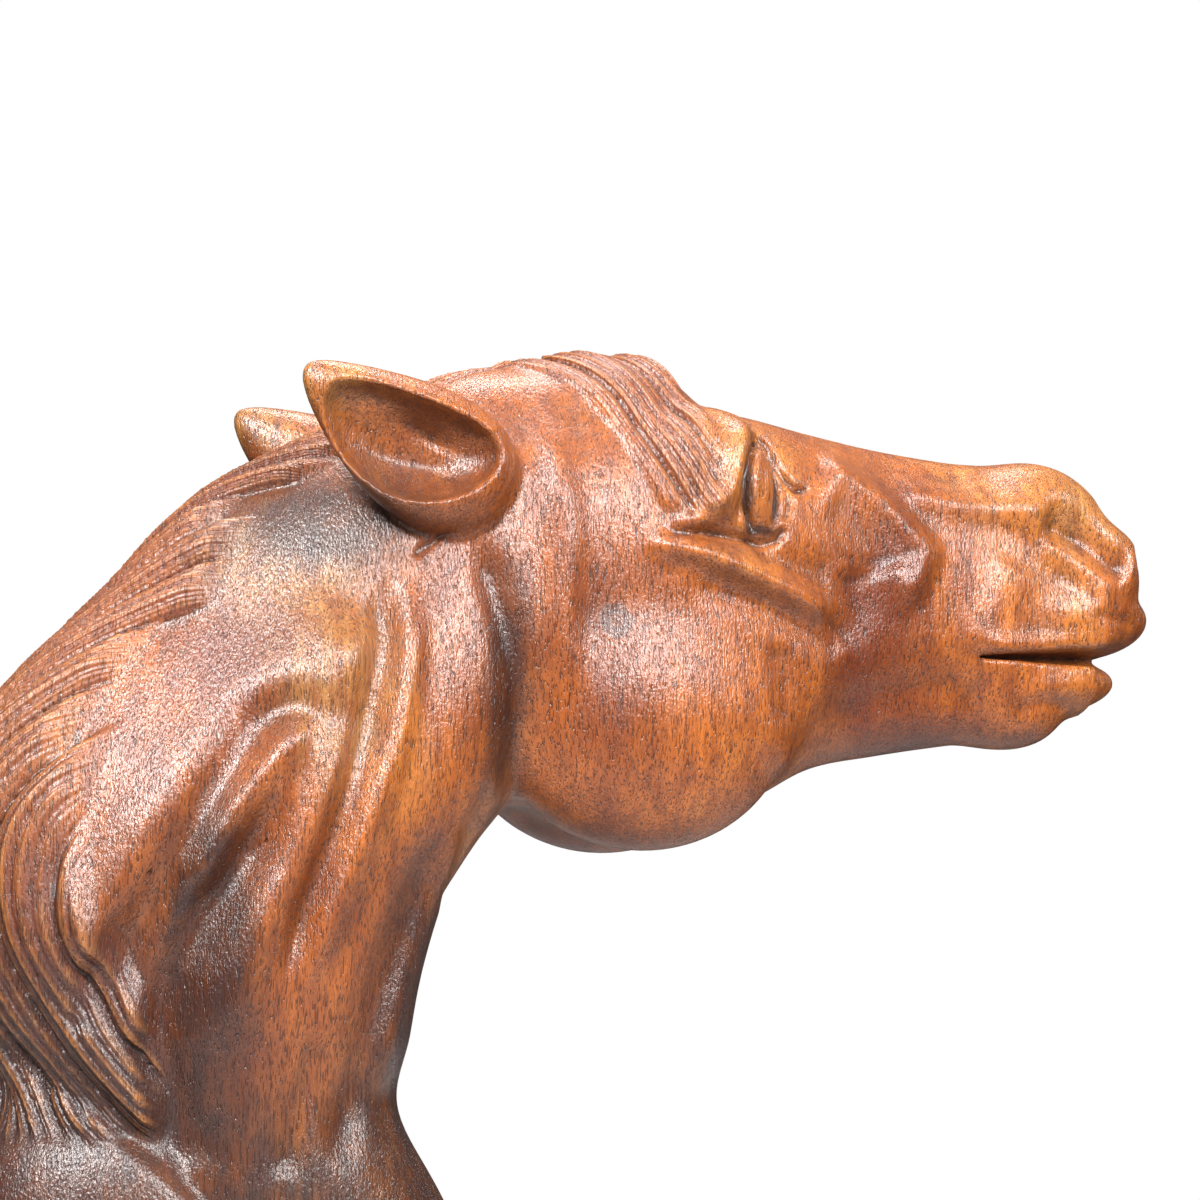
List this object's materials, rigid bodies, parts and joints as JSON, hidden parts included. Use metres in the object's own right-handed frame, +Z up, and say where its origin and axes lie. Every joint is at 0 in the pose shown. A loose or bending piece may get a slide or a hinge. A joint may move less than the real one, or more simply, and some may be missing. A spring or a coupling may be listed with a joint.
{
  "type": "carved wooden horse head bust",
  "caption": "Horse head and arched neck carved from one block of warm brown varnished wood, with swept mane and forelock, cut flat below.",
  "frame": {"origin": "centre of the flat underside", "axes": "+X the way the muzzle points, +Z up, +Y to the horse's left"},
  "size_m": [0.3824, 0.1121, 0.2986],
  "materials": {
    "wood": "glossy varnish over warm red-brown timber with open pores"
  },
  "bodies": {
    "root": {"horse_head": "wood"}
  },
  "joints": []
}
